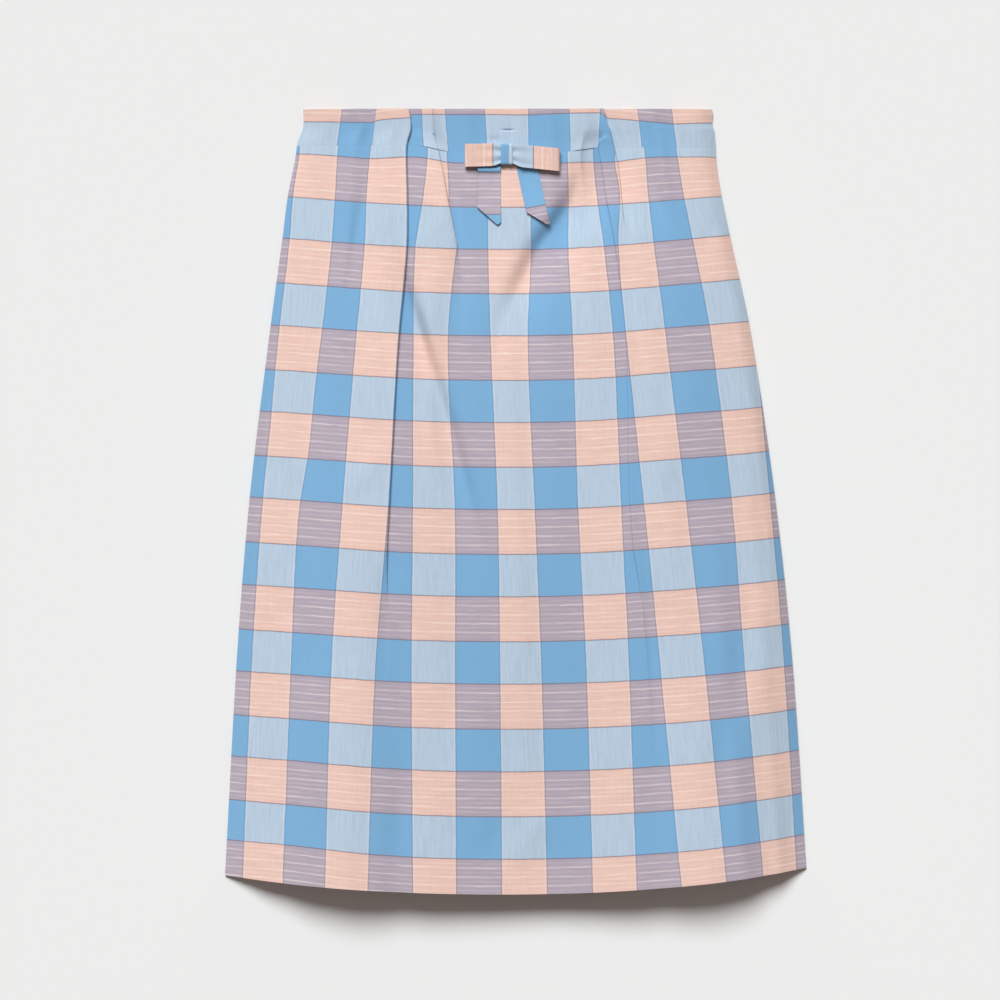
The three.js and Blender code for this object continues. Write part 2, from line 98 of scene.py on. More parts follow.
# Folds where the cloth doubles under itself: where each starts on the cloth, and its take.
lapFolds = {
    "longLeft": {
        "start": [-130.3] * 9,
        "take": [33, 33, 23, 28, 35, 29, 16, 2, 0],
    },
    "leftOfBow": {
        "start": [-77, -77, -77, -64, -46, -45, -45, -45, -45],
        "take": [3, 5, 23, 18, 11.5, 2, 1, 0, 0],
        "lift": [0.15, 0.15, 0.5, 0.9, 0.45, 0, 0, 0, 0],    # share of its full height
    },
    "longRight": {
        "start": [121, 122, 141.7, 145.4, 151.5, 153, 145.3, 139.9, 141.9],
        "take": [0.5, 0.5, 21, 22, 30, 31, 17.5, 3.4, 0],
        "lift": [0.15, 0.15, 0.35, 0.6, 0.7, 0.7, 0.7, 0.5, 0.3],
        "mirrored": True,      # its right side lies over its left
    },
    "rightTuck": {
        "start": [131, 138, 168, 172, 173.4, 173.4, 173.4, 173.4, 173.4],
        "take": [51, 48, 16, 15, 5, 0.6, 0, 0, 0],
        "lift": [1, 1, 0.7, 0.5, 0.3, 0, 0, 0, 0],
    },
}
fold = {
    "radius": 1.2,         # of the two arcs of a sharp fold
    "softRadius": 3.4,     # added to that in a small soft one
    "sharpTake": 20.0,     # a fold that takes up this much is sharp
    "run": 0.6,            # the least length between its arcs
    "spare": 1.5,          # cloth left between one fold and the next
    "fade": 30.0,          # how far away the cloth begins to rise to a fold, or from a side
    "tuckedDown": 1.6,     # how far the hidden layers are pushed down
    "hideFrom": 1.6,       # they are hidden from this bend of the arcs on, in radians
    "hideOver": 0.8,
}

# Soft troughs pressed into the front: place across, depth and half width.
creases = {
    "leftDrag": {
        "x": [-134, -134, -134.5, -143.5, -155, -171.3, -190.5, -199, -205],
        "depth": [0.8, 1, 1.2, 2, 1.8, 1.1, 0.2, 0, 0],
        "width": 7,
    },
    "besideBow": {
        "x": [-66, -66, -65, -56.5, -50.8, -55, -55.6, -52.7, -50.8],
        "depth": [0.6, 0.8, 1.5, 3.2, 3.4, 1, 0.3, 0, 0],
        "width": 9,
    },
    "crossDrag": {
        "x": [-125, -125, -125, -123, -117, -89, -42, -15, -5],
        "depth": [0, 0, 0, 0, 2.4, 11, 4.4, 0, 0],
        "width": 22,
        "rightWidth": 8,
    },
    "diagonalDrag": {
        "x": [72, 72, 70, 56, 22.5, -16, -24, -30, -35],
        "depth": [0, 0, 2.2, 9, 10.4, 1.5, 0, 0, 0],
        "width": 12,
        "rightWidth": 36,
    },
    "underRightTuck": {
        "x": [87.2, 93.9, 97.7, 101.5, 104.4, 110.2, 114, 118, 120],
        "depth": [1, 1, 1.5, 2, 1.5, 0.5, 0, 0, 0],
        "width": 10,
    },
    "rightDrag": {
        "x": [120.7, 120.7, 120.7, 134.1, 153.3, 167.7, 177, 182, 187],
        "depth": [1.2, 1.4, 1.6, 2.2, 1.2, 0.4, 0, 0, 0],
        "width": 9,
    },
    "leftFoldDying": {
        "x": [-124, -124, -124, -124, -122, -122, -121.7, -117.8, -115],
        "depth": [0, 0, 0, 0, 0, 0, 1.8, 4, 3.4],
        "width": 14,
    },
    "rightFoldDying": {
        "x": [103, 103, 103, 103, 105, 108, 119.8, 129.3, 136],
        "depth": [0, 0, 0, 0, 0, 0, 1.6, 4, 3.4],
        "width": 13,
    },
}
slack = {
    "gatherHeight": 0.12,
    "noGather": 0.3,       # a fold at this share of its full height leaves no gather beside it
    "waveHeight": 0.8,
    "waveLength": 138.0,
    "waveLean": 260.0,
}

# From a distance down, the hem stands highest near the two sides and sinks between them:
# place across, height and half width.
hem = {"from": 330.0, "humps": [(10, -8.0, 95), (-148, 1.5, 45), (188, 5.5, 42)]}

# The check pulled a little out of line where the cloth is eased: place across, distance
# down, half width, half depth, and how far it has moved to the right and down.
drifts = [
    (0, 420, 330, 300, 0, -1.9), (-205, 300, 75, 420, 1.0, -1.9), (-205, 700, 80, 200, 0, -2.0),
    (150, 250, 55, 200, -1.2, -1.6), (150, 560, 60, 220, -1.4, 0), (-208, 285, 22, 45, 4.0, 0),
    (88, 12, 26, 22, 0, 4.5), (-140, 12, 32, 20, 0, 2.8), (-218, 8, 22, 24, 0, -1.2),
    (200, 120, 30, 120, 2.4, 0), (-225, 705, 60, 40, 0, -2.5),
]
# At the seam the rows step up between these two shares of the way out to a side. Further
# down they turn into a smooth curve.
seamDip = {"from": 0.24, "to": 0.46, "fade": 45.0}

# Stripe lines of the warp; line 7 is zero.
stripeLine = {7: 0.0}
for k in range(8, 15):
    stripeLine[k] = stripeLine[k - 1] + (skirt["lightStripe"] if k % 2 == 0 else skirt["darkStripe"])
for k in range(6, 0, -1):
    stripeLine[k] = stripeLine[k + 1] - (skirt["darkStripe"] if k % 2 == 0 else skirt["lightStripe"])


def alongTable(values, v):
    # a smooth curve through a table, read at v
    last = len(levels) - 1
    at = min(max(v, levels[0]), levels[-1])
    i = 0
    while i < last - 1 and at > levels[i + 1]:
        i += 1
    h = levels[i + 1] - levels[i]
    t = (at - levels[i]) / h
    slope = []
    for j in (i, i + 1):
        before, after = max(j - 1, 0), min(j + 1, last)
        slope.append((values[after] - values[before]) / (levels[after] - levels[before]))
    rise = t * t * (3 - 2 * t)
    leave = t * (1 - t) * (1 - t) * h * slope[0]
    arrive = t * t * (t - 1) * h * slope[1]
    return values[i] * (1 - rise) + values[i + 1] * rise + leave + arrive


def smoothStep(t):
    t = min(max(t, 0.0), 1.0)
    return t * t * (3 - 2 * t)


def foldShape(take, room):
    # an arc back, a run under the cloth and an arc forward; a small fold is only a soft ripple
    soft = 1 - smoothStep(take / fold["sharpTake"])
    arc = min(math.pi * (fold["radius"] + fold["softRadius"] * soft), (room - fold["run"]) / 2)
    bend, run = math.pi, fold["run"]
    if take >= 2 * arc + 2 * run:
        run = take / 2 - arc
    else:
        low, high = 0.001, math.pi
        for _ in range(40):
            bend = (low + high) / 2
            used = 2 * arc * (1 - math.sin(bend) / bend) + fold["run"] * (1 - math.cos(bend))
            low, high = (bend, high) if used < take else (low, bend)
    radius = arc / bend
    return {
        "bend": bend, "run": run, "radius": radius, "arc": arc, "length": 2 * arc + run,
        "height": (1 - soft) ** 2,
        "advance": 2 * radius * math.sin(bend) + run * math.cos(bend),
        "drop": 2 * radius * (1 - math.cos(bend)) + run * math.sin(bend),
    }


def gatherTake(row, u):
    total = 0.0
    for start, end, take, _ in row["gathers"]:
        t = np.clip((u - start) / (end - start), 0, 1)
        total = total + take * (t - np.sin(2 * np.pi * t) / (2 * np.pi))
    return total


def gatherRelief(row, u):
    z = np.zeros_like(u)
    for start, end, take, share in row["gathers"]:
        if take > 0:
            t = np.clip((u - start) / (end - start), 0, 1)
            z += share * slack["gatherHeight"] * math.sqrt(take * (end - start)) * np.sin(np.pi * t) ** 2
    return z


def foldEffect(row, u):
    # how far the folds have pulled the cloth back at u, and how high they leave it
    take, z = np.zeros_like(u), np.zeros_like(u)
    for f in row["folds"]:
        s = u - f["start"]
        if f["mirrored"]:
            s = f["length"] - s
        radius, bend, arc, run = f["radius"], f["bend"], f["arc"], f["run"]
        q = s - arc
        w = (f["length"] - s) / radius
        inFirst, inRun, inLast = s < arc, s < arc + run, s < f["length"]
        dx = np.where(inFirst, radius * np.sin(s / radius), np.where(
            inRun, radius * math.sin(bend) + q * math.cos(bend), f["advance"] - radius * np.sin(w)))
        dz = np.where(inFirst, radius * (np.cos(s / radius) - 1), np.where(
            inRun, radius * (math.cos(bend) - 1) - q * math.sin(bend),
            radius * (1 - np.cos(w)) - f["drop"]))
        before = s <= 0
        whole = f["length"] - f["advance"]
        drawn = np.where(before, 0, np.where(inLast, s - dx, whole))
        take += whole - drawn if f["mirrored"] else drawn
        settle = f["drop"] * np.exp(np.minimum(s, 0) / fold["fade"])
        z += f["height"] * np.where(before, settle, np.where(inLast, f["drop"] + dz, 0))
        # what is folded under keeps below what covers it
        hidden = smoothStep((bend - fold["hideFrom"]) / fold["hideOver"])
        z -= fold["tuckedDown"] * hidden * np.sin(np.pi * np.clip(s / f["length"], 0, 1)) ** 2
    return take, z


def acrossX(row, u):
    return row["zeroLineX"] + u - (gatherTake(row, u) - row["gatherBase"]) - (
        foldEffect(row, u)[0] - row["foldBase"])


def frontRow(v):
    # everything one level of the front needs, worked out once
    row = {name: alongTable(values, v) for name, values in outline.items()}
    row["v"] = v
    row["folds"] = []
    starts = [alongTable(f["start"], v) for f in lapFolds.values()] + [stripeLine[13]]
    for i, f in enumerate(lapFolds.values()):
        shape = foldShape(max(alongTable(f["take"], v), 0), starts[i + 1] - starts[i] - fold["spare"])
        shape["start"] = starts[i]
        shape["mirrored"] = f.get("mirrored", False)
        if "lift" in f:
            shape["height"] *= max(alongTable(f["lift"], v), 0)
        row["folds"].append(shape)
    row["gathers"] = []
    for first, last, takes in gathers:
        # cloth that holds a fold has no bulge of its own
        start, end = stripeLine[first], stripeLine[last]
        held = max([f["height"] for f in row["folds"] if start <= f["start"] < end] or [0])
        share = 1 - min(held / slack["noGather"], 1)
        row["gathers"].append((start, end, alongTable(takes, v), share))
    row["creases"] = [(alongTable(c["x"], v), max(alongTable(c["depth"], v), 0), c["width"],
                       c.get("rightWidth", c["width"])) for c in creases.values()]
    zero = np.zeros(1)
    row["gatherBase"] = float(gatherTake(row, zero)[0])
    row["foldBase"] = float(foldEffect(row, zero)[0][0])
    row["leftU"] = stripeLine[1] - row["leftBeyond"]
    row["rightU"] = stripeLine[14] + row["rightBeyond"]
    row["leftX"] = float(acrossX(row, np.array([row["leftU"]]))[0])
    row["rightX"] = float(acrossX(row, np.array([row["rightU"]]))[0])
    return row


def shoulder(distance, width):
    return np.sin(np.clip(distance / width, 0, 1) * np.pi / 2)


def rowRise(row, x):
    right = x > skirt["plumbX"]
    half = np.where(right, row["rightX"] - skirt["plumbX"], skirt["plumbX"] - row["leftX"])
    q = np.minimum(np.abs(x - skirt["plumbX"]) / half, 1)
    t = np.clip((q - seamDip["from"]) / (seamDip["to"] - seamDip["from"]), 0, 1)
    share = 1 - min(max(row["v"] / seamDip["fade"], 0), 1)
    rise = np.where(right, row["rightRise"], row["leftRise"])
    return rise * (t * t * (3 - 2 * t) * share + q * q * (1 - share))


def frontPoints(row, u):
    x = acrossX(row, u)
    y = skirt["seamHeight"] - row["v"] + rowRise(row, x)
    relief = foldEffect(row, u)[1] + gatherRelief(row, u)
    for place, depth, width, rightWidth in row["creases"]:
        reach = np.where(x < place, width, rightWidth)
        relief = relief - depth * np.exp(-((x - place) / reach) ** 2)
    relief = relief + slack["waveHeight"] * np.sin(
        2 * np.pi * x / slack["waveLength"] + row["v"] / slack["waveLean"])
    relief = relief + seamPuckers(row["v"], x) + softDents(x, y) + bandMarks(row["v"], x)
    fromLeft, fromRight = x - row["leftX"], row["rightX"] - x
    fromSide = np.minimum(fromLeft, fromRight)
    arch, share = row["crown"], row["edgeShare"]
    for distance, width in ((fromLeft, row["leftShoulder"]), (fromRight, row["rightShoulder"])):
        edge = shoulder(distance, skirt["edgeRoll"])
        arch = arch * (share * edge + (1 - share) * shoulder(distance, width))
    nearHem = smoothStep((row["v"] - hem["from"]) / (skirt["length"] - hem["from"]))
    for place, height, width in hem["humps"]:
        arch = arch + height * np.exp(-((x - place) / width) ** 2) * nearHem
    inBand = smoothStep(-row["v"] / skirt["bandHeight"])
    base = skirt["sideHeight"] + (skirt["bandSideHeight"] - skirt["sideHeight"]) * inBand
    z = base + arch + relief * shoulder(fromSide, fold["fade"]) - seamDepth(row["v"])
    return np.stack([x + sideFlare(row, x), y, z], axis=-1)


# Small puckers where the waist seam draws the cloth in.
pucker = {
    "height": 0.45,
    "reach": 34.0,
    "pitch": 17.0,
    "wander": 1.3,         # how unevenly they are spaced
    "wanderLength": 23.0,
    "meanSize": 0.6,
    "sizeChange": 0.4,
    "sizeLength": 41.0,
}


def seamPuckers(v, x):
    phase = 2 * np.pi * x / pucker["pitch"] + pucker["wander"] * np.sin(x / pucker["wanderLength"])
    size = pucker["meanSize"] + pucker["sizeChange"] * np.sin(x / pucker["sizeLength"] + 1.0)
    return pucker["height"] * (np.sin(phase) * size) * math.exp(-abs(v) / pucker["reach"])


# Soft dents and rises left in the cloth: across, up, turn in degrees,
# half length, half width and height.
dents = [
    (15, -318, 62, 34, 12, 1.3), (-22, -322, 70, 30, 12, -1.0), (-196, -150, 82, 52, 12, -1.6),
    (-140, 30, 55, 26, 11, 1.4), (-214, -40, 78, 60, 13, 1.0), (-60, -190, 80, 60, 15, -0.9),
    (70, -120, 96, 70, 16, 0.9), (205, -205, 84, 90, 15, -2.4), (236, -150, 80, 80, 13, 1.2),
    (150, 60, 74, 50, 13, 1.1), (118, 180, 100, 38, 9, -1.2), (-172, 205, 98, 30, 9, 1.0),
    (-104, -285, 86, 44, 13, -1.1), (120, -300, 92, 46, 14, -1.0), (30, 110, 105, 42, 12, 1.0),
    (188, 258, 70, 26, 9, -0.9), (128, 300, 118, 15, 5, -0.8), (-76, 262, 60, 22, 8, 1.0),
    (-21, 346, -8, 9, 2.4, -1.2),
]


def softDents(x, y):
    z = np.zeros_like(x)
    for atX, atY, turn, halfLength, halfWidth, height in dents:
        c, s = math.cos(math.radians(turn)), math.sin(math.radians(turn))
        alongIt, acrossIt = (x - atX) * c + (y - atY) * s, (y - atY) * c - (x - atX) * s
        z = z + height * np.exp(-(alongIt / halfLength) ** 2 - (acrossIt / halfWidth) ** 2)
    return z


# The waist seam lies in a shallow groove, and the sides stand out a little beside it.
waist = {
    "grooveDepth": 0.06,
    "groove": 1.1,         # half width
    "flareAt": -12.0,
    "flareReach": 20.0,
    "flareLeft": 3.4,
    "flareRight": 2.0,
    "flareWidth": 60.0,
    "slitX": -7.4,
    "slitV": -21.6,
    "slitHalf": 5.2,
    "slitWidth": 0.8,
    "slitDepth": 1.8,
    "cornerX": (-78.0, 66.0),
    "cornerHalf": 11.0,
    "cornerReach": 5.0,
    "cornerLift": 0.9,
}


def bandMarks(v, x):
    # a short slit pressed in the band above the bow, and the band's edge lifted beside the bow
    press = waist["slitDepth"] * math.exp(-((v - waist["slitV"]) / waist["slitWidth"]) ** 2)
    mark = -press * np.exp(-((x - waist["slitX"]) / waist["slitHalf"]) ** 4)
    lift = waist["cornerLift"] * math.exp(-(v / waist["cornerReach"]) ** 2) if v < 0 else 0.0
    for place in waist["cornerX"]:
        mark = mark + lift * np.exp(-((x - place) / waist["cornerHalf"]) ** 4)
    return mark


def seamDepth(v):
    return waist["grooveDepth"] * math.exp(-(v / waist["groove"]) ** 2)


def sideFlare(row, x):
    near = math.exp(-((row["v"] - waist["flareAt"]) / waist["flareReach"]) ** 2)
    fromLeft = np.clip(1 - (x - row["leftX"]) / waist["flareWidth"], 0, 1) ** 2
    fromRight = np.clip(1 - (row["rightX"] - x) / waist["flareWidth"], 0, 1) ** 2
    return near * (waist["flareRight"] * fromRight - waist["flareLeft"] * fromLeft)


def frontColumns(row, between, perArc, perRun):
    # columns gather round each fold so that its arcs stay round
    stops = [np.array([row["leftU"]])]
    start = row["leftU"]
    for i, f in enumerate(row["folds"]):
        runEnd = f["start"] + f["arc"] + f["run"]
        for end, count in ((f["start"], between[i]), (f["start"] + f["arc"], perArc),
                           (runEnd, perRun), (f["start"] + f["length"], perArc)):
            stops.append(np.linspace(start, end, count + 1)[1:])
            start = end
    stops.append(np.linspace(start, row["rightU"], between[-1] + 1)[1:])
    return np.concatenate(stops)


def clothSheet(name, points, cloth, wall):
    # points and cloth are arrays of rows of columns, in mm; the grid becomes a thin shell
    rows, columns = points.shape[:2]
    sheet = bmesh.new()
    bmesh.ops.create_grid(sheet, x_segments=columns - 1, y_segments=rows - 1, size=1.0)
    uvMap = sheet.loops.layers.uv.new("cloth")
    places = {}
    for vertex in sheet.verts:
        column = round((vertex.co.x + 1) / 2 * (columns - 1))
        line = round((1 - vertex.co.y) / 2 * (rows - 1))
        places[vertex.index] = (line, column)
    for face in sheet.faces:
        for loop in face.loops:
            line, column = places[loop.vert.index]
            loop[uvMap].uv = cloth[line, column] * mm
        face.smooth = True
    for edge in sheet.edges:
        edge.smooth = not edge.is_boundary
    for vertex in sheet.verts:
        vertex.co = Vector(points[places[vertex.index]]) * mm
    mesh = bpy.data.meshes.new(name)
    sheet.to_mesh(mesh)
    sheet.free()
    piece = bpy.data.objects.new(name, mesh)
    bpy.context.scene.collection.objects.link(piece)
    thickness = piece.modifiers.new("cloth thickness", "SOLIDIFY")
    thickness.thickness = wall * mm
    thickness.offset = 0.0
    thickness.use_even_offset = False
    return piece


# The front panel
frontPanel = {
    "between": (54, 34, 74, 10, 54),  # columns between the folds
    "perArc": 7,
    "perRun": 3,
    "seamRows": [0, 0.7, 1.8],
    "fineRows": 4.0,                  # mm between rows near the waist
    "coarseRows": 7.5,
    "fineTo": 200.0,
    "tuckUnder": 1.4,
    "tuckDepth": 0.7,
}


def panelRowStops():
    # distances down, closest together at the waist seam
    fine = np.arange(frontPanel["fineRows"], frontPanel["fineTo"], frontPanel["fineRows"])
    count = round((skirt["length"] - frontPanel["fineTo"]) / frontPanel["coarseRows"])
    coarse = np.linspace(frontPanel["fineTo"], skirt["length"], count + 1)
    return np.concatenate([[-frontPanel["tuckUnder"]], frontPanel["seamRows"], fine, coarse])


def clothDrift(v, x):
    right, down = np.zeros_like(x), np.zeros_like(x)
    for atX, atV, halfWidth, halfDepth, toRight, toDown in drifts:
        near = np.exp(-((x - atX) / halfWidth) ** 2 - ((v - atV) / halfDepth) ** 2)
        right, down = right + toRight * near, down + toDown * near
    return right, down


points, cloth = [], []
for v in panelRowStops():
    row = frontRow(max(v, 0.0))
    u = frontColumns(row, frontPanel["between"], frontPanel["perArc"], frontPanel["perRun"])
    place = frontPoints(row, u)
    if v < 0:
        # the seam allowance goes up under the waistband
        place = place + np.array([0, frontPanel["tuckUnder"], -frontPanel["tuckDepth"]])
    points.append(place)
    right, down = clothDrift(v, place[:, 0])
    cloth.append(np.stack([u - right, v - down], axis=-1))
frontPanelPiece = clothSheet("frontPanelCloth", np.array(points), np.array(cloth), skirt["clothWall"])
print("front panel", len(frontPanelPiece.data.polygons))

# The front waistband is its own strip, so its stripes step at the seam
frontBand = {
    # visible stripes: place across at the top and at the seam, and the cloth there
    "left": [(-205.5, -209.5, -258.5), (-166.7, -171.5, -216.5), (-134.6, -138.6, -176.4),
             (-131.2, -135.2, -165), (-100.6, -101.5, -130.3)],
    "middle": [(-100.6, -101.5, -97.2), (-90, -88, -86.2), (-68.5, -65, -44.1), (-29.5, -27, 0),
               (11.8, 12.6, 42.1), (51.8, 53, 86.2), (80.8, 79, 128.3), (90, 97, 143)],
    "right": [(84, 97, 184), (117, 121, 214.5), (149.6, 154.5, 258.6), (191, 192.5, 300)],
    # height of the line where the peach row ends, across the band
    "peachX": [-205, -139, -131, -101, -99.6, -67, -28, 14, 52, 81, 89, 117, 150, 191],
    "peachY": [364.2, 362.8, 365.4, 367.4, 370.7, 370.7, 370.7, 370.3, 371.9, 372.2, 367, 365, 361.7,
               363.2],
    "slitRows": np.arange(-24.2, -18.6, 0.65),    # rows stand close together round the slit
    "seamRows": [-1.6, -0.8, -0.2],
}


def bandCloth(row, u, place):
    t = (row["v"] + skirt["bandHeight"]) / skirt["bandHeight"]
    parts = {}
    for part in ("left", "middle", "right"):
        stops = np.array(frontBand[part], float)
        parts[part] = np.interp(place[:, 0], stops[:, 0] * (1 - t) + stops[:, 1] * t, stops[:, 2])
    firstFold, lastFold = row["folds"][0], row["folds"][3]
    across = np.where(u < firstFold["start"] + firstFold["arc"], parts["left"], np.where(
        u < lastFold["start"] + lastFold["arc"], parts["middle"], parts["right"]))
    # the peach row above the panel's first ends where its blue row starts
    peachEnd = skirt["firstRow"] - skirt["blueRow"]
    down = peachEnd + np.interp(place[:, 0], frontBand["peachX"], frontBand["peachY"]) - place[:, 1]
    return np.stack([across, down], axis=-1)


points, cloth = [], []
bandStops = np.concatenate([np.linspace(-skirt["bandHeight"], -25.0, 7), frontBand["slitRows"],
                            np.linspace(-18.0, -3.0, 6), frontBand["seamRows"]])
for v in bandStops:
    row = frontRow(v)
    u = frontColumns(row, frontPanel["between"], frontPanel["perArc"], frontPanel["perRun"])
    place = frontPoints(row, u)
    points.append(place)
    cloth.append(bandCloth(row, u, place))
frontBandPiece = clothSheet("frontWaistbandCloth", np.array(points), np.array(cloth), skirt["bandWall"])
print("front waistband", len(frontBandPiece.data.polygons))

# The back panel and back waistband lie flat on the surface, drawn up under the waist
back = {
    "columns": 150,
    "gathers": 11,
    "margin": 46.0,
    "height": [1.2, 1.4, 2.2, 2.2, 1.6, 0.7, 0, 0, 0],
    "unevenness": 0.35,
    "clothWidth": 598.0,
    "clothShift": 20.0,
}


def backPoints(v, wall):
    row = frontRow(v)
    s = np.linspace(0, 1, back["columns"] + 1)
    x = row["leftX"] + (row["rightX"] - row["leftX"]) * s
    y = skirt["seamHeight"] - v + row["leftRise"] + (row["rightRise"] - row["leftRise"]) * s
    inside = np.minimum(x - row["leftX"], row["rightX"] - x) - back["margin"]
    # the gathers differ in height and lie at uneven distances
    height = alongTable(back["height"], v) * (1 + back["unevenness"] * np.sin(5 * s + 2 * np.sin(9 * s)))
    turn = 2 * np.pi * s * back["gathers"] + np.sin(7 * s)
    z = height * shoulder(inside, back["margin"]) * (0.5 - 0.5 * np.cos(turn))
    cloth = np.stack([(s - 0.5) * back["clothWidth"] + back["clothShift"], np.full_like(s, v)], axis=-1)
    return np.stack([x + sideFlare(row, x), y, z + wall / 2], axis=-1), cloth


def backSheet(name, stops, wall):
    made = [backPoints(v, wall) for v in stops]
    return clothSheet(name, np.array([m[0] for m in made]), np.array([m[1] for m in made]), wall)


backPanelPiece = backSheet("backPanelCloth", np.linspace(0, skirt["length"], 72), skirt["clothWall"])
backBandPiece = backSheet(
    "backWaistbandCloth", np.linspace(-skirt["bandHeight"], -skirt["seamGap"], 7), skirt["bandWall"])
print("back")

# The bow
bow = {
    "knotX": -8.7,
    "knotHalf": 5.6,
    "top": 343.0,
    "bottom": 321.2,
    "outerLeft": -48.9,
    "outerRight": 42.2,
    "leftDroop": -1.0,
    "rightDroop": -5.2,
    "pleatHeight": 0.8,
    "pleatAt": 7.0,         # from the middle of the knot
    "pleatReach": 10.0,
    "pinch": 2.2,
    "openFrom": 0.6,        # from the knot's edge
    "opening": 9.0,
    "innerGap": 0.4,
    "lowerLayer": 2.2,
    "upperLayer": 6.2,
    "upperAtKnot": 4.7,
    "wall": 0.8,
    "loopSteps": 34,
    "turnSteps": 8,
    "acrossSteps": 16,
    "leftPeachX": -22.0,    # where the left loop turns peach
    "rightPeachX": 17.2,
    "lightU": 10.0,         # the loops are cut from a light stripe
}


def frontTop(x, y):
    # the top face of the front at a place in plan, for what is laid on it, found in a few steps
    v = skirt["seamHeight"] - y
    for _ in range(4):
        row = frontRow(v)
        u = np.linspace(row["folds"][1]["start"] + row["folds"][1]["length"], row["folds"][2]["start"], 120)
        place = frontPoints(row, u)
        at = [float(np.interp(x, place[:, 0], place[:, k])) for k in (1, 2)]
        v += at[0] - y
    return at[1] + skirt["bandWall"] / 2


bowField = {
    "x": np.linspace(-62, 52, 30),
    "y": np.linspace(258, 350, 24),
}
bowField["z"] = np.array([[frontTop(x, y) for x in bowField["x"]] for y in bowField["y"]])


def topUnderBow(x, y):
    # read between the four places of the field that stand round this one
    xs, ys, z = bowField["x"], bowField["y"], bowField["z"]
    i = np.interp(y, ys, np.arange(len(ys)))
    j = np.interp(x, xs, np.arange(len(xs)))
    a, b = min(int(i), len(ys) - 2), min(int(j), len(xs) - 2)
    s, t = i - a, j - b
    return (z[a, b] * (1 - s) * (1 - t) + z[a + 1, b] * s * (1 - t)
            + z[a, b + 1] * (1 - s) * t + z[a + 1, b + 1] * s * t)


def topOver(x, low, high):
    return max(topUnderBow(x, y) for y in np.linspace(low, high, 5))


knotReach = (bow["top"] - bow["bottom"]) / 2 - bow["pinch"] + 1.0
knotY = (bow["top"] + bow["bottom"]) / 2
knotBase = max(topOver(bow["knotX"] + dx, knotY - knotReach, knotY + knotReach)
               for dx in np.linspace(-bow["knotHalf"], bow["knotHalf"], 4))


def opened(x):
    # how far a loop has opened at x: 0 at the knot and 1 in its full part
    return float(shoulder(abs(x - bow["knotX"]) - bow["knotHalf"] - bow["openFrom"], bow["opening"]))


def loopPiece(name, outerX, droop, peachX):
    # the strip runs out over the upper layer, turns, and comes back as the lower one
    side = 1 if outerX > bow["knotX"] else -1
    innerX = bow["knotX"] + side * bow["innerGap"]
    endRadius = (bow["upperLayer"] - bow["lowerLayer"]) / 2
    turnX = outerX - side * (endRadius + bow["wall"] / 2)
    path = []
    for t in np.linspace(0, 1, bow["loopSteps"]):
        x = innerX + (turnX - innerX) * t
        path.append((t, x, bow["upperAtKnot"] + (bow["upperLayer"] - bow["upperAtKnot"]) * opened(x)))
    for angle in np.linspace(0, math.pi, bow["turnSteps"] + 1)[1:-1]:
        path.append((1.0, turnX + side * endRadius * math.sin(angle),
                     bow["lowerLayer"] + endRadius * (1 + math.cos(angle))))
    for t in np.linspace(1, 0, bow["loopSteps"]):
        path.append((t, innerX + (turnX - innerX) * t, bow["lowerLayer"]))
    points, cloth, run, last = [], [], 0.0, None
    for i, (t, x, z) in enumerate(path):
        openShare = opened(x)
        pinch = bow["pinch"] * (1 - openShare)
        drop = droop * t * openShare
        top, bottom = bow["top"] - pinch + drop, bow["bottom"] + pinch + drop
        base = knotBase + (topOver(x, bottom, top) - knotBase) * openShare
        s = np.linspace(0, 1, bow["acrossSteps"] + 1)
        y = top + (bottom - top) * s
        # two soft pleats that run out from the knot on the upper layer
        pleatHeight = 0.0
        if i < bow["loopSteps"]:
            fromPleat = abs(x - bow["knotX"] - side * bow["pleatAt"])
            pleatHeight = bow["pleatHeight"] * math.exp(-fromPleat / bow["pleatReach"])
        zs = base + z + pleatHeight * np.sin(s * 4 * math.pi + 0.6)
        line = np.stack([np.full_like(y, x), y, zs], axis=-1)
        points.append(line if side < 0 else line[::-1])
        if last is not None:
            run += math.hypot(x - last[0], z - last[1])
        last = (x, z)
        atX = innerX + side * run
        down = skirt["firstRow"] + side * (atX - peachX)
        across = bow["lightU"] + s * (bow["top"] - bow["bottom"])
        strip = np.stack([across, np.full_like(s, down)], axis=-1)
        cloth.append(strip if side < 0 else strip[::-1])
    return clothSheet(name, np.array(points), np.array(cloth), bow["wall"])


loopLeft = loopPiece("leftBowLoop", bow["outerLeft"], bow["leftDroop"], bow["leftPeachX"])
loopRight = loopPiece("rightBowLoop", bow["outerRight"], bow["rightDroop"], bow["rightPeachX"])


bowKnot = {
    "under": 0.75,          # from what the bow lies on up to the strip's underside
    "over": 1.6,            # from the loops' upper layer up to its top
    "corner": 1.6,
    "cornerSteps": 6,
    "acrossSteps": 12,
    "ripple": 0.35,
    "creaseAt": 0.66,       # share of the way across
    "creaseHalf": 0.07,
    "creaseDepth": 0.5,
    "across": -7.8,         # a dark stripe, with the light one beginning near the right edge
    "down": -16.0,
    "downShare": 0.4,
}


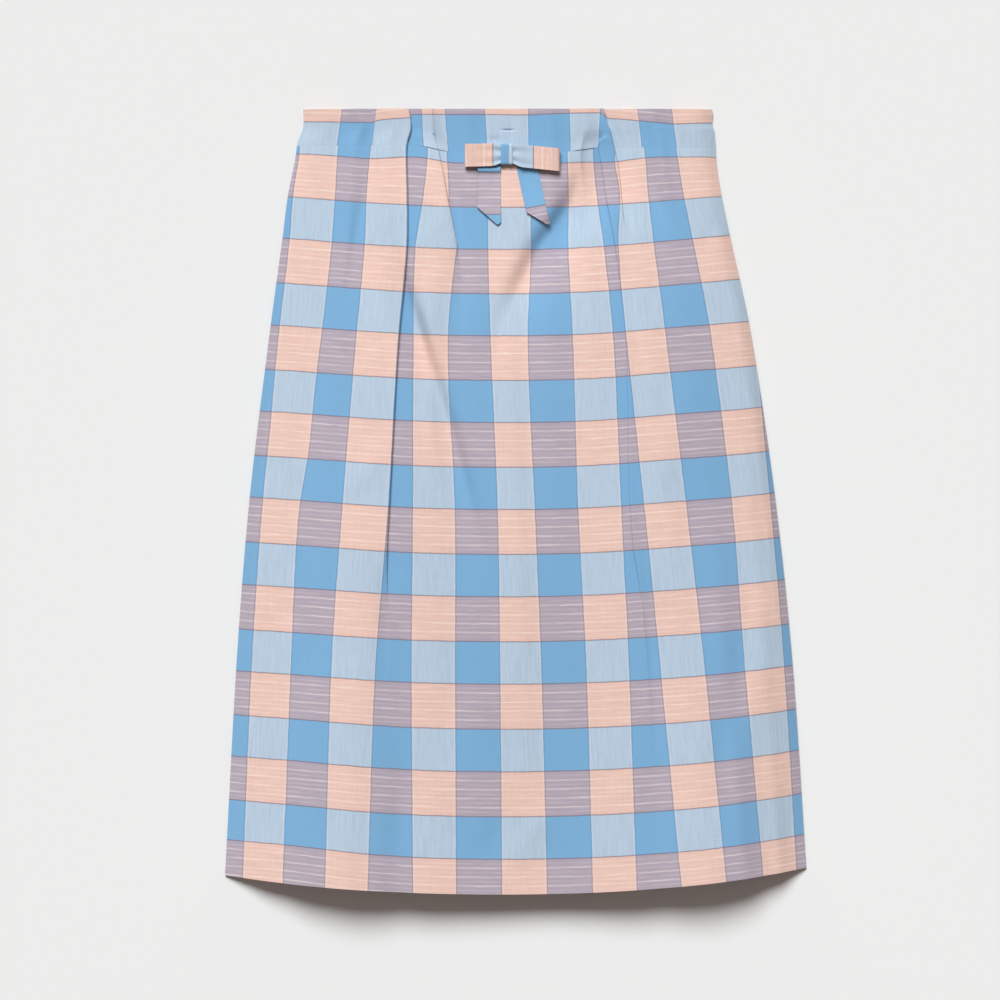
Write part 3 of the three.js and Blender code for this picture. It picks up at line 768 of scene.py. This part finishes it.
def knotPiece():
    # a short strip wrapped once round both loops
    k = bowKnot
    half, corner = knotReach, k["corner"]
    low, high = knotBase + k["under"], knotBase + bow["upperAtKnot"] + k["over"]
    ring = []
    for y, z, start in ((half - corner, high - corner, 0), (corner - half, high - corner, 1),
                        (corner - half, low + corner, 2), (half - corner, low + corner, 3)):
        for i in range(k["cornerSteps"] + 1):
            angle = (start + i / k["cornerSteps"]) * math.pi / 2
            ring.append((knotY + y + corner * math.cos(angle), z + corner * math.sin(angle)))
    ring.append(ring[0])
    points, cloth, run = [], [], 0.0
    for i, (y, z) in enumerate(ring):
        if i:
            run += math.hypot(y - ring[i - 1][0], z - ring[i - 1][1])
        s = np.linspace(0, 1, k["acrossSteps"] + 1)
        x = bow["knotX"] + (s * 2 - 1) * bow["knotHalf"]
        onTop = 1.0 if z > (low + high) / 2 else 0.0
        crease = k["creaseDepth"] * np.exp(-((s - k["creaseAt"]) / k["creaseHalf"]) ** 2)
        relief = onTop * (k["ripple"] * np.sin(s * 3 * math.pi) - crease)
        points.append(np.stack([x, np.full_like(x, y), z + relief], axis=-1))
        across = k["across"] + (x - bow["knotX"]) + bow["knotHalf"]
        cloth.append(np.stack([across, np.full_like(x, k["down"] + run * k["downShare"])], axis=-1))
    return clothSheet("bowKnotCloth", np.array(points), np.array(cloth), bow["wall"])


knot = knotPiece()

tails = {
    "leftBowTail": {
        "topLeft": (-36.4, 329.0), "topRight": (-14.8, 329.0),
        "endLeft": (-36.6, 281.2), "endRight": (-14.2, 261.4),
        "tipRound": 6.0, "curl": 1.6, "roll": 3.0, "rollAt": 317.7,
        "across": -40.0,
        # heights on the tail and the cloth there, a little uneven
        "clothAt": ([254.4, 274.4, 315.3, 335], [73.4, 53.4, 10.5, -9.2]),
    },
    "rightBowTail": {
        "topLeft": (-1.4, 329.0), "topRight": (19.3, 328.0),
        "endLeft": (10.4, 276.5), "endRight": (33.0, 263.0),
        "tipRound": 3.0, "curl": 2.2, "roll": 0.5, "rollAt": 317.5,
        "across": -36.0,
        # height of the edge of its peach row at one place across, and how that edge slants
        "rowEdge": 282.2, "rowX": 21.0, "rowSlant": 0.18,
    },
}
tail = {
    "lift": 0.7,
    "bulge": 0.35,
    "curlFrom": 0.35,       # share of the way down
    "rollHalf": 2.6,
    "tipFrom": 0.8,         # share of the way across
    "tipPower": 12,
    "clothWidth": 21.0,
    "rows": 36,
    "columns": 20,
}


def tailPiece(name, shape):
    corners = [np.array(shape[k]) for k in ("topLeft", "topRight", "endLeft", "endRight")]
    points, cloth = [], []
    for t in np.linspace(0, 1, tail["rows"]):
        s = np.linspace(0, 1, tail["columns"])
        upper = corners[0] * (1 - s[:, None]) + corners[1] * s[:, None]
        lower = corners[2] * (1 - s[:, None]) + corners[3] * s[:, None]
        plan = upper * (1 - t) + lower * t
        # the long corner is rounded off
        nearTip = np.maximum(s - tail["tipFrom"], 0) / (1 - tail["tipFrom"])
        plan[:, 1] += shape["tipRound"] * t ** tail["tipPower"] * nearTip ** 2
        lift = tail["lift"] + shape["curl"] * float(shoulder(t - tail["curlFrom"], 1 - tail["curlFrom"])) ** 2
        lift = lift + shape["roll"] * np.exp(-((plan[:, 1] - shape["rollAt"]) / tail["rollHalf"]) ** 2)
        lift = lift + tail["bulge"] * np.sin(s * math.pi) * t
        z = np.array([topUnderBow(x, y) for x, y in plan]) + lift
        points.append(np.column_stack([plan, z]))
        if "clothAt" in shape:
            down = np.interp(plan[:, 1], *shape["clothAt"])
        else:
            slant = (plan[:, 0] - shape["rowX"]) * shape["rowSlant"]
            down = skirt["firstRow"] - (plan[:, 1] - shape["rowEdge"] - slant)
        cloth.append(np.column_stack([shape["across"] + s * tail["clothWidth"], down]))
    return clothSheet(name, np.array(points), np.array(cloth), bow["wall"])


tailLeft, tailRight = (tailPiece(name, shape) for name, shape in tails.items())
print("bow")


def linear(hexColour):
    # sRGB hex to linear red, green, blue, alpha
    parts = [int(hexColour[i:i + 2], 16) / 255 for i in (1, 3, 5)]
    return [c / 12.92 if c <= 0.04045 else ((c + 0.055) / 1.055) ** 2.4 for c in parts] + [1.0]


def addNode(material, kind, inputs=None, output=0, **settings):
    # adds a node, sets it, links or fills its sockets, and gives back one of its outputs
    node = material.node_tree.nodes.new(kind)
    for key, value in settings.items():
        setattr(node, key, value)
    for socket, value in (inputs or {}).items():
        if isinstance(value, bpy.types.NodeSocket):
            material.node_tree.links.new(value, node.inputs[socket])
        else:
            node.inputs[socket].default_value = value
    return node.outputs[output]


checkCloth = {
    "skyBlue": "#7babd1",       # dark warp over blue weft
    "paleBlue": "#b4c6d7",      # light warp over blue weft
    "mauve": "#afa3b0",         # dark warp over peach weft
    "palePeach": "#e5c1b4",     # light warp over peach weft
    "rowLineColour": "#75616f", # a plum pick at each change of row
    "blueColumnLine": "#5a7ba6",
    "peachColumnLine": "#7c666f",
    "paleYarn": "#fbeae2",
    # thin lines, in mm: distance outside the row or stripe, half width, where it has faded, strength
    "rowLine": (0.0, 0.25, 0.85, 0.68),
    "columnLine": (-0.5, 0.2, 0.8, 0.42),
    "paleLine": (0.9, 0.2, 0.9, 0.15),
    "edge": 0.4,                # softness of a colour change, mm
    "wander": 0.8,              # how far the yarns wander, mm
    "wanderScale": 90.0,        # per metre
    "pickSpacing": 8.58,        # between the pale picks of a peach row, mm
    "pickShow": 0.46,
    "thinPick": 0.36,           # strength of the thin picks half way between
    "pickClear": 3.0,           # none this near the row's edge, mm
    "warpSlub": 0.27,
    "weftSlub": 0.28,
    "warpSlubSize": (0.42, 0.035),    # thick and thin places per mm, across and down
    "weftSlubSize": (0.03, 0.6),
    "yarn": 0.9,                # a pair of yarns is about 0.45 mm: drawn twice as coarse to show
    "weaveShare": 0.25,         # of the relief, beside the slubs
    "bumpStrength": 0.25,
    "bumpDepth": 0.0004,
    "roughness": 0.92,
    "specular": 0.25,
    "sheen": 0.08,
}


def checkedCotton(name):
    # yarn-dyed plain weave cotton: matt, soft edges where coloured yarns cross, slubs along the warp
    cottonMat = bpy.data.materials.new(name)
    cottonMat.use_nodes = True
    tree = cottonMat.node_tree
    tree.nodes.clear()
    c = checkCloth
    uv = addNode(cottonMat, "ShaderNodeUVMap", uv_map="cloth")
    split = tree.nodes.new("ShaderNodeSeparateXYZ")
    tree.links.new(uv, split.inputs[0])
    across = addNode(cottonMat, "ShaderNodeMath", {0: split.outputs[0], 1: 1000.0}, operation="MULTIPLY")
    down = addNode(cottonMat, "ShaderNodeMath", {0: split.outputs[1], 1: 1000.0}, operation="MULTIPLY")

    # yarns wander a little, so the edges of the check aren't ruled
    wobble = addNode(cottonMat, "ShaderNodeTexNoise",
                     {"Vector": uv, "Scale": c["wanderScale"], "Detail": 2.0}, noise_dimensions="2D")
    wobble = addNode(cottonMat, "ShaderNodeMath", {0: wobble, 1: 0.5}, operation="SUBTRACT")
    across = addNode(cottonMat, "ShaderNodeMath", {0: wobble, 1: c["wander"], 2: across},
                     operation="MULTIPLY_ADD")
    down = addNode(cottonMat, "ShaderNodeMath", {0: wobble, 1: c["wander"], 2: down},
                   operation="MULTIPLY_ADD")

    # the dark warp stripe and the peach row: place from its middle, distance outside it, in mm, and
    # how much of it there is here
    bands = []
    for along, first, width, gap in (
            (across, skirt["lightStripe"], skirt["darkStripe"], skirt["lightStripe"]),
            (down, skirt["firstRow"], skirt["peachRow"], skirt["blueRow"])):
        period = width + gap
        toMiddle = period / 2 - first - width / 2
        at = addNode(cottonMat, "ShaderNodeMath", {0: along, 1: toMiddle}, operation="ADD")
        at = addNode(cottonMat, "ShaderNodeMath", {0: at, 1: period}, operation="FLOORED_MODULO")
        at = addNode(cottonMat, "ShaderNodeMath", {0: at, 1: period / 2}, operation="SUBTRACT")
        off = addNode(cottonMat, "ShaderNodeMath", {0: at}, operation="ABSOLUTE")
        off = addNode(cottonMat, "ShaderNodeMath", {0: off, 1: width / 2}, operation="SUBTRACT")
        show = addNode(cottonMat, "ShaderNodeMapRange",
                       {"Value": off, "From Min": -c["edge"], "From Max": c["edge"],
                        "To Min": 1.0, "To Max": 0.0})
        bands.append((at, off, show))
    (_, stripeOff, dark), (rowAt, rowOff, peach) = bands

    # long thin uneven yarns: one pattern drawn out down the cloth, one across it
    slubs = []
    for perAcross, perDown in (c["warpSlubSize"], c["weftSlubSize"]):
        slubX = addNode(cottonMat, "ShaderNodeMath", {0: across, 1: perAcross}, operation="MULTIPLY")
        slubY = addNode(cottonMat, "ShaderNodeMath", {0: down, 1: perDown}, operation="MULTIPLY")
        slubAt = addNode(cottonMat, "ShaderNodeCombineXYZ", {0: slubX, 1: slubY})
        slubs.append(addNode(cottonMat, "ShaderNodeTexNoise",
                             {"Vector": slubAt, "Scale": 1.0, "Detail": 3.0, "Roughness": 0.65},
                             noise_dimensions="2D"))
    warpSlub, weftSlub = slubs

    # the four crossings of yarn
    lightCloth = addNode(cottonMat, "ShaderNodeMix",
                         {0: peach, 6: linear(c["paleBlue"]), 7: linear(c["palePeach"])}, 2, data_type="RGBA")
    darkCloth = addNode(cottonMat, "ShaderNodeMix",
                        {0: peach, 6: linear(c["skyBlue"]), 7: linear(c["mauve"])}, 2, data_type="RGBA")
    colour = addNode(cottonMat, "ShaderNodeMix", {0: dark, 6: lightCloth, 7: darkCloth}, 2, data_type="RGBA")

    # pale picks in the peach rows, broken where the yarn thins, stronger in the mauve
    pick = addNode(cottonMat, "ShaderNodeMath", {0: rowAt, 1: c["pickSpacing"]}, operation="FLOORED_MODULO")
    pick = addNode(cottonMat, "ShaderNodeMath", {0: pick, 1: c["pickSpacing"] / 2}, operation="SUBTRACT")
    pick = addNode(cottonMat, "ShaderNodeMath", {0: pick}, operation="ABSOLUTE")
    halfWay = addNode(cottonMat, "ShaderNodeMapRange",
                      {"Value": pick, "From Min": c["pickSpacing"] / 2 - 0.9,
                       "From Max": c["pickSpacing"] / 2 - 0.1, "To Min": 0.0, "To Max": c["thinPick"]})
    pick = addNode(cottonMat, "ShaderNodeMapRange",
                   {"Value": pick, "From Min": 0.1, "From Max": 1.2, "To Min": 1.0, "To Max": 0.0})
    pick = addNode(cottonMat, "ShaderNodeMath", {0: pick, 1: halfWay}, operation="MAXIMUM")
    inRow = addNode(cottonMat, "ShaderNodeMath", {0: rowOff, 1: -c["pickClear"]}, operation="LESS_THAN")
    pick = addNode(cottonMat, "ShaderNodeMath", {0: pick, 1: inRow}, operation="MULTIPLY")
    broken = addNode(cottonMat, "ShaderNodeMapRange",
                     {"Value": weftSlub, "From Min": 0.35, "From Max": 0.62, "To Min": c["pickShow"] * 0.45,
                      "To Max": c["pickShow"]})
    pick = addNode(cottonMat, "ShaderNodeMath", {0: pick, 1: broken}, operation="MULTIPLY")
    colour = addNode(cottonMat, "ShaderNodeMix",
                     {0: pick, 6: colour, 7: linear(c["paleYarn"])}, 2, data_type="RGBA")

    # slubs shade the cloth: along the warp mostly in the light stripes, along the weft in the peach rows
    lightOnly = addNode(cottonMat, "ShaderNodeMapRange",
                        {"Value": dark, "From Min": 0.0, "From Max": 1.0, "To Min": c["warpSlub"],
                         "To Max": c["warpSlub"] * 0.2})
    blueMost = addNode(cottonMat, "ShaderNodeMath", {0: peach, 1: -0.6, 2: 1.0}, operation="MULTIPLY_ADD")
    warpShade = addNode(cottonMat, "ShaderNodeMath", {0: warpSlub, 1: 0.5}, operation="SUBTRACT")
    warpShade = addNode(cottonMat, "ShaderNodeMath", {0: warpShade, 1: lightOnly}, operation="MULTIPLY")
    warpShade = addNode(cottonMat, "ShaderNodeMath", {0: warpShade, 1: blueMost}, operation="MULTIPLY")
    peachOnly = addNode(cottonMat, "ShaderNodeMapRange",
                        {"Value": peach, "From Min": 0.0, "From Max": 1.0, "To Min": c["weftSlub"] * 0.15,
                         "To Max": c["weftSlub"]})
    weftShade = addNode(cottonMat, "ShaderNodeMath", {0: weftSlub, 1: 0.5}, operation="SUBTRACT")
    weftShade = addNode(cottonMat, "ShaderNodeMath", {0: weftShade, 1: peachOnly}, operation="MULTIPLY")
    shade = addNode(cottonMat, "ShaderNodeMath", {0: warpShade, 1: weftShade}, operation="ADD")
    shade = addNode(cottonMat, "ShaderNodeMath", {0: shade, 1: 1.0}, operation="ADD")
    colour = addNode(cottonMat, "ShaderNodeVectorMath", {0: colour, 3: shade}, operation="SCALE")

    # thin dark yarns at every change of row and inside each dark stripe, a pale one outside it
    columnColour = addNode(cottonMat, "ShaderNodeMix",
                           {0: peach, 6: linear(c["blueColumnLine"]), 7: linear(c["peachColumnLine"])}, 2,
                           data_type="RGBA")
    for off, line, lineColour in ((rowOff, "rowLine", linear(c["rowLineColour"])),
                                  (stripeOff, "columnLine", columnColour),
                                  (stripeOff, "paleLine", linear(c["paleYarn"]))):
        outside, core, faded, strength = c[line]
        near = addNode(cottonMat, "ShaderNodeMath", {0: off, 1: outside}, operation="SUBTRACT")
        near = addNode(cottonMat, "ShaderNodeMath", {0: near}, operation="ABSOLUTE")
        near = addNode(cottonMat, "ShaderNodeMapRange",
                       {"Value": near, "From Min": core, "From Max": faded,
                        "To Min": strength, "To Max": 0.0})
        colour = addNode(cottonMat, "ShaderNodeMix", {0: near, 6: colour, 7: lineColour}, 2,
                         data_type="RGBA")

    # plain weave: yarns over and under, with the slubs standing a little proud
    turn = 2 * math.pi / c["yarn"]
    warpWave = addNode(cottonMat, "ShaderNodeMath", {0: across, 1: turn}, operation="MULTIPLY")
    warpWave = addNode(cottonMat, "ShaderNodeMath", {0: warpWave}, operation="SINE")
    weftWave = addNode(cottonMat, "ShaderNodeMath", {0: down, 1: turn}, operation="MULTIPLY")
    weftWave = addNode(cottonMat, "ShaderNodeMath", {0: weftWave}, operation="SINE")
    weave = addNode(cottonMat, "ShaderNodeMath", {0: warpWave, 1: weftWave}, operation="MULTIPLY")
    height = addNode(cottonMat, "ShaderNodeMath", {0: weave, 1: c["weaveShare"], 2: warpSlub},
                     operation="MULTIPLY_ADD")
    height = addNode(cottonMat, "ShaderNodeMath", {0: height, 1: weftSlub}, operation="ADD")
    bump = addNode(cottonMat, "ShaderNodeBump",
                   {"Strength": c["bumpStrength"], "Distance": c["bumpDepth"], "Height": height})
    shader = addNode(cottonMat, "ShaderNodeBsdfPrincipled",
                     {"Base Color": colour, "Roughness": c["roughness"], "Normal": bump,
                      "Specular IOR Level": c["specular"], "Sheen Weight": c["sheen"],
                      "Sheen Roughness": 0.5})
    surface = tree.nodes.new("ShaderNodeOutputMaterial")
    tree.links.new(shader, surface.inputs["Surface"])
    return cottonMat


checkedCottonMat = checkedCotton("yarn-dyed checked cotton, plain weave")

pieces = {
    "front_panel": frontPanelPiece,
    "waistband_front": frontBandPiece,
    "back_panel": backPanelPiece,
    "waistband_back": backBandPiece,
    "bow_loop_left": loopLeft,
    "bow_loop_right": loopRight,
    "bow_knot": knot,
    "bow_tail_left": tailLeft,
    "bow_tail_right": tailRight,
}
for node, piece in pieces.items():
    piece.data.materials.append(checkedCottonMat)
    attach(piece, "root")
    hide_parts(node)
# Floor, light and camera
studio = {
    "floorColour": "#e9e9e8",
    "floorSize": 6.0,
    "floorDrop": 0.0002,     # just clear of the skirt's underside
    "lampStrength": 3.62,
    "lampColour": (0.968, 1.006, 1.028),
    "lampAngle": 29.0,       # degrees: a wide soft lamp
    "lampElevation": 48.0,
    "lampFromLeft": 13.0,
    "fillStrength": 0.18,
    "fillColour": (1.15, 0.97, 0.88),    # a warm fill, so the shadows are brownish
    "cameraHeight": 6.0,
    "focusHeight": 0.02,
    "viewWidth": 0.958,      # metres across the picture, at the focus height
    "centre": (-0.0150, 0.0010),
    "sensorWidth": 36.0,     # mm
}

floorSheet = bmesh.new()
bmesh.ops.create_grid(floorSheet, x_segments=1, y_segments=1, size=studio["floorSize"] / 2)
floorMesh = bpy.data.meshes.new("floor")
floorSheet.to_mesh(floorMesh)
floorSheet.free()
floor = bpy.data.objects.new("floor", floorMesh)
bpy.context.scene.collection.objects.link(floor)
floor.location.z = -studio["floorDrop"]
paperMat = bpy.data.materials.new("matt paper sweep")
paperMat.use_nodes = True
paper = paperMat.node_tree.nodes["Principled BSDF"]
paper.inputs["Base Color"].default_value = linear(studio["floorColour"])
paper.inputs["Roughness"].default_value = 1.0
paper.inputs["Specular IOR Level"].default_value = 0.0
floorMesh.materials.append(paperMat)

lampData = bpy.data.lights.new("soft lamp", "SUN")
lampData.energy = studio["lampStrength"]
lampData.color = studio["lampColour"]
lampData.angle = math.radians(studio["lampAngle"])
lamp = bpy.data.objects.new("soft lamp", lampData)
elevation, left = math.radians(studio["lampElevation"]), math.radians(studio["lampFromLeft"])
toward = Vector((-math.sin(left) * math.cos(elevation), math.cos(left) * math.cos(elevation),
                 math.sin(elevation)))
lamp.rotation_mode = "QUATERNION"
lamp.rotation_quaternion = toward.to_track_quat("Z", "Y")
bpy.context.scene.collection.objects.link(lamp)

studioWorld = bpy.data.worlds.new("warm studio fill")
studioWorld.use_nodes = True
studioWorld.node_tree.nodes["Background"].inputs["Color"].default_value = (*studio["fillColour"], 1.0)
studioWorld.node_tree.nodes["Background"].inputs["Strength"].default_value = studio["fillStrength"]
bpy.context.scene.world = studioWorld
bpy.context.scene.view_settings.view_transform = "Standard"

cameraData = bpy.data.cameras.new("camera")
cameraData.sensor_width = studio["sensorWidth"]
toFocus = studio["cameraHeight"] - studio["focusHeight"]
cameraData.lens = studio["sensorWidth"] * toFocus / studio["viewWidth"]
camera = bpy.data.objects.new("camera", cameraData)
camera.location = (*studio["centre"], studio["cameraHeight"])
bpy.context.scene.collection.objects.link(camera)
bpy.context.scene.camera = camera
print("studio")
